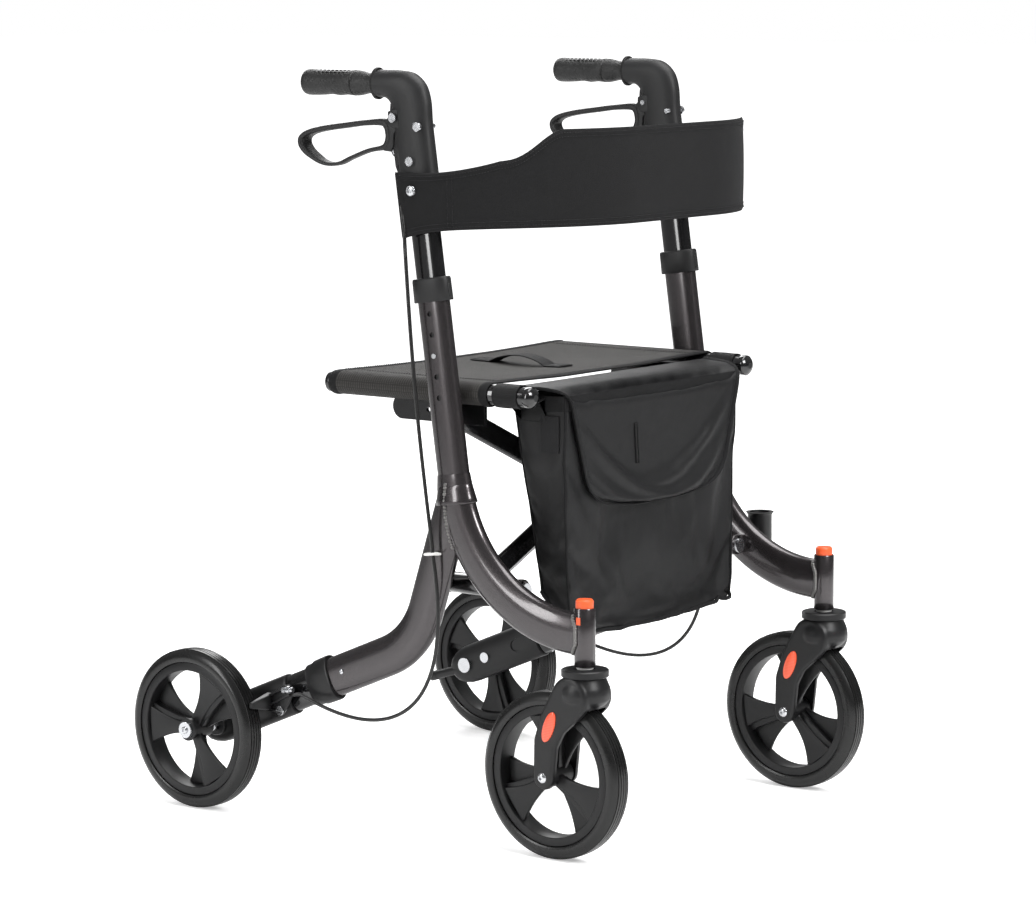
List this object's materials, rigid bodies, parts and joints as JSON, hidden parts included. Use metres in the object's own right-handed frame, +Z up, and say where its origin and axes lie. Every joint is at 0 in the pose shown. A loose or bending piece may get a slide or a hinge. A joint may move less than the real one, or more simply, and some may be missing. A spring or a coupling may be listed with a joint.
{
  "type": "rollator walker",
  "caption": "Folding four-wheeled rollator walker with curved oval-tube side frames, cloth seat, front bag, backrest strap, hand brakes and height-adjustable handles.",
  "frame": {"origin": "on the floor, on the centre plane, midway between the front and rear axles", "axes": "+Z up, front of the walker towards -Y, the user's right-hand side on -X"},
  "size_m": [0.636, 0.73, 0.922],
  "materials": {
    "frame_paint": "dark charcoal metallic paint on the aluminium frame",
    "gloss_black": "gloss black anodised and painted tube",
    "black_plastic": "satin black moulded plastic",
    "rubber": "textured black rubber",
    "tyre": "soft black tyre rubber",
    "steel": "bright zinc-plated steel",
    "orange": "orange-red plastic",
    "seat_cloth": "dark grey-brown woven seat fabric",
    "strap_cloth": "black laminated knit with bound edges",
    "bag_cloth": "black woven nylon"
  },
  "bodies": {
    "right_frame": {"right_frame": "frame_paint", "right_height_collar": "black_plastic", "right_axle_housing": "black_plastic", "right_rear_sleeve": "black_plastic", "right_rear_axle": "steel", "right_caster_bushes": "black_plastic", "right_pivot_pin": "steel", "right_brake_cable": "rubber"},
    "left_frame": {"left_frame": "frame_paint", "left_height_collar": "black_plastic", "left_axle_housing": "black_plastic", "left_rear_sleeve": "black_plastic", "left_rear_axle": "steel", "left_caster_bushes": "black_plastic", "left_pivot_pin": "steel", "left_brake_cable": "rubber", "cane_cup": "black_plastic"},
    "brace_a": {"brace_bar_a": "gloss_black", "brace_bolt": "steel", "left_seat_tube": "gloss_black", "left_seat_caps": "black_plastic", "seat_fabric": "seat_cloth", "seat_pull_strap": "seat_cloth"},
    "brace_b": {"brace_bar_b": "gloss_black", "right_seat_tube": "gloss_black", "right_seat_caps": "black_plastic"},
    "bag": {"bag": "bag_cloth"},
    "bag_flap": {"bag_flap": "bag_cloth"},
    "right_handle": {"right_upper_tube": "gloss_black", "right_elbow": "black_plastic", "right_grip": "rubber", "right_handle_bolts": "steel", "backrest_strap": "strap_cloth"},
    "right_brake_lever": {"right_brake_lever": "black_plastic"},
    "right_height_button": {"right_height_button": "steel"},
    "right_brake_arm": {"right_brake_arm": "black_plastic"},
    "right_rear_wheel": {"right_rear_rim": "black_plastic", "right_rear_tyre": "tyre"},
    "right_caster": {"right_caster_fork": "black_plastic", "right_reflectors": "orange", "right_front_axle": "steel"},
    "right_front_wheel": {"right_front_rim": "black_plastic", "right_front_tyre": "tyre"},
    "right_release_button": {"right_release_button": "orange"},
    "left_handle": {"left_upper_tube": "gloss_black", "left_elbow": "black_plastic", "left_grip": "rubber", "left_handle_bolts": "steel"},
    "left_brake_lever": {"left_brake_lever": "black_plastic"},
    "left_height_button": {"left_height_button": "steel"},
    "left_brake_arm": {"left_brake_arm": "black_plastic"},
    "left_rear_wheel": {"left_rear_rim": "black_plastic", "left_rear_tyre": "tyre"},
    "left_caster": {"left_caster_fork": "black_plastic", "left_reflectors": "orange", "left_front_axle": "steel"},
    "left_front_wheel": {"left_front_rim": "black_plastic", "left_front_tyre": "tyre"},
    "left_release_button": {"left_release_button": "orange"}
  },
  "joints": [
    {"name": "fold", "type": "hinge", "parent": "right_frame", "child": "brace_a", "pos_m": [-0.217, -0.135, 0.308], "axis": [0, -1, 0], "range_deg": [0, 43], "deforming": ["seat_fabric", "seat_pull_strap", "backrest_strap", "bag", "bag_flap", "right_brake_cable", "left_brake_cable"]},
    {"name": "brace_cross", "type": "hinge", "parent": "brace_a", "child": "brace_b", "pos_m": [0, -0.115, 0.408], "axis": [0, -1, 0], "range_deg": [-87, 1]},
    {"name": "left_frame_fold", "type": "hinge", "parent": "brace_b", "child": "left_frame", "pos_m": [0.217, -0.135, 0.308], "axis": [0, -1, 0], "range_deg": [-1, 44]},
    {"name": "bag_hang", "type": "hinge", "parent": "brace_b", "child": "bag", "pos_m": [-0.217, -0.19, 0.538], "axis": [0, -1, 0], "range_deg": [-1, 44]},
    {"name": "bag_flap_hinge", "type": "hinge", "parent": "bag", "child": "bag_flap", "pos_m": [0, -0.158, 0.5386], "axis": [-1, 0, 0], "range_deg": [0, 100]},
    {"name": "right_handle_height", "type": "slide", "parent": "right_frame", "child": "right_handle", "axis": [0, 0.1352, 0.9908], "range_m": [-0.05, 0.05], "deforming": ["right_height_button", "right_brake_cable"]},
    {"name": "right_height_button_press", "type": "slide", "parent": "right_handle", "child": "right_height_button", "axis": [1, 0, 0], "range_m": [0, 0.003], "stiffness_N_per_m": 200},
    {"name": "right_brake_lever_squeeze", "type": "hinge", "parent": "right_handle", "child": "right_brake_lever", "pos_m": [-0.246, -0.037, 0.864], "axis": [1, 0, 0], "range_deg": [0, 12], "stiffness_Nm_per_rad": 0.5},
    {"name": "right_brake_arm_press", "type": "hinge", "parent": "right_frame", "child": "right_brake_arm", "pos_m": [-0.246, 0.14894, 0.13076], "axis": [-1, 0, 0], "range_deg": [0, 4.8]},
    {"name": "right_rear_wheel_spin", "type": "hinge", "parent": "right_frame", "child": "right_rear_wheel", "pos_m": [-0.295, 0.265, 0.1], "axis": [1, 0, 0], "continuous": true},
    {"name": "right_caster_swivel", "type": "hinge", "parent": "right_frame", "child": "right_caster", "pos_m": [-0.246, -0.309, 0.26], "axis": [0, 0, 1], "continuous": true},
    {"name": "right_front_wheel_spin", "type": "hinge", "parent": "right_caster", "child": "right_front_wheel", "pos_m": [-0.246, -0.265, 0.1], "axis": [1, 0, 0], "continuous": true},
    {"name": "right_release_button_press", "type": "slide", "parent": "right_frame", "child": "right_release_button", "axis": [0, 0, -1], "range_m": [0, 0.003], "stiffness_N_per_m": 200},
    {"name": "left_handle_height", "type": "slide", "parent": "left_frame", "child": "left_handle", "axis": [0, 0.1352, 0.9908], "range_m": [-0.05, 0.05], "deforming": ["left_height_button", "left_brake_cable"]},
    {"name": "left_height_button_press", "type": "slide", "parent": "left_handle", "child": "left_height_button", "axis": [-1, 0, 0], "range_m": [0, 0.003], "stiffness_N_per_m": 200},
    {"name": "left_brake_lever_squeeze", "type": "hinge", "parent": "left_handle", "child": "left_brake_lever", "pos_m": [0.246, -0.037, 0.864], "axis": [1, 0, 0], "range_deg": [0, 12], "stiffness_Nm_per_rad": 0.5},
    {"name": "left_brake_arm_press", "type": "hinge", "parent": "left_frame", "child": "left_brake_arm", "pos_m": [0.246, 0.14894, 0.13076], "axis": [-1, 0, 0], "range_deg": [0, 4.8]},
    {"name": "left_rear_wheel_spin", "type": "hinge", "parent": "left_frame", "child": "left_rear_wheel", "pos_m": [0.295, 0.265, 0.1], "axis": [1, 0, 0], "continuous": true},
    {"name": "left_caster_swivel", "type": "hinge", "parent": "left_frame", "child": "left_caster", "pos_m": [0.246, -0.309, 0.26], "axis": [0, 0, 1], "continuous": true},
    {"name": "left_front_wheel_spin", "type": "hinge", "parent": "left_caster", "child": "left_front_wheel", "pos_m": [0.246, -0.265, 0.1], "axis": [1, 0, 0], "continuous": true},
    {"name": "left_release_button_press", "type": "slide", "parent": "left_frame", "child": "left_release_button", "axis": [0, 0, -1], "range_m": [0, 0.003], "stiffness_N_per_m": 200}
  ],
  "couplings": [
    {"joint": "brace_cross", "follows": "fold", "ratio": -2},
    {"joint": "left_frame_fold", "follows": "fold", "ratio": 1},
    {"joint": "bag_hang", "follows": "fold", "ratio": 1},
    {"joint": "left_handle_height", "follows": "right_handle_height", "ratio": 1},
    {"joint": "right_brake_arm_press", "follows": "right_brake_lever_squeeze", "ratio": 0.4},
    {"joint": "left_brake_arm_press", "follows": "left_brake_lever_squeeze", "ratio": 0.4}
  ]
}
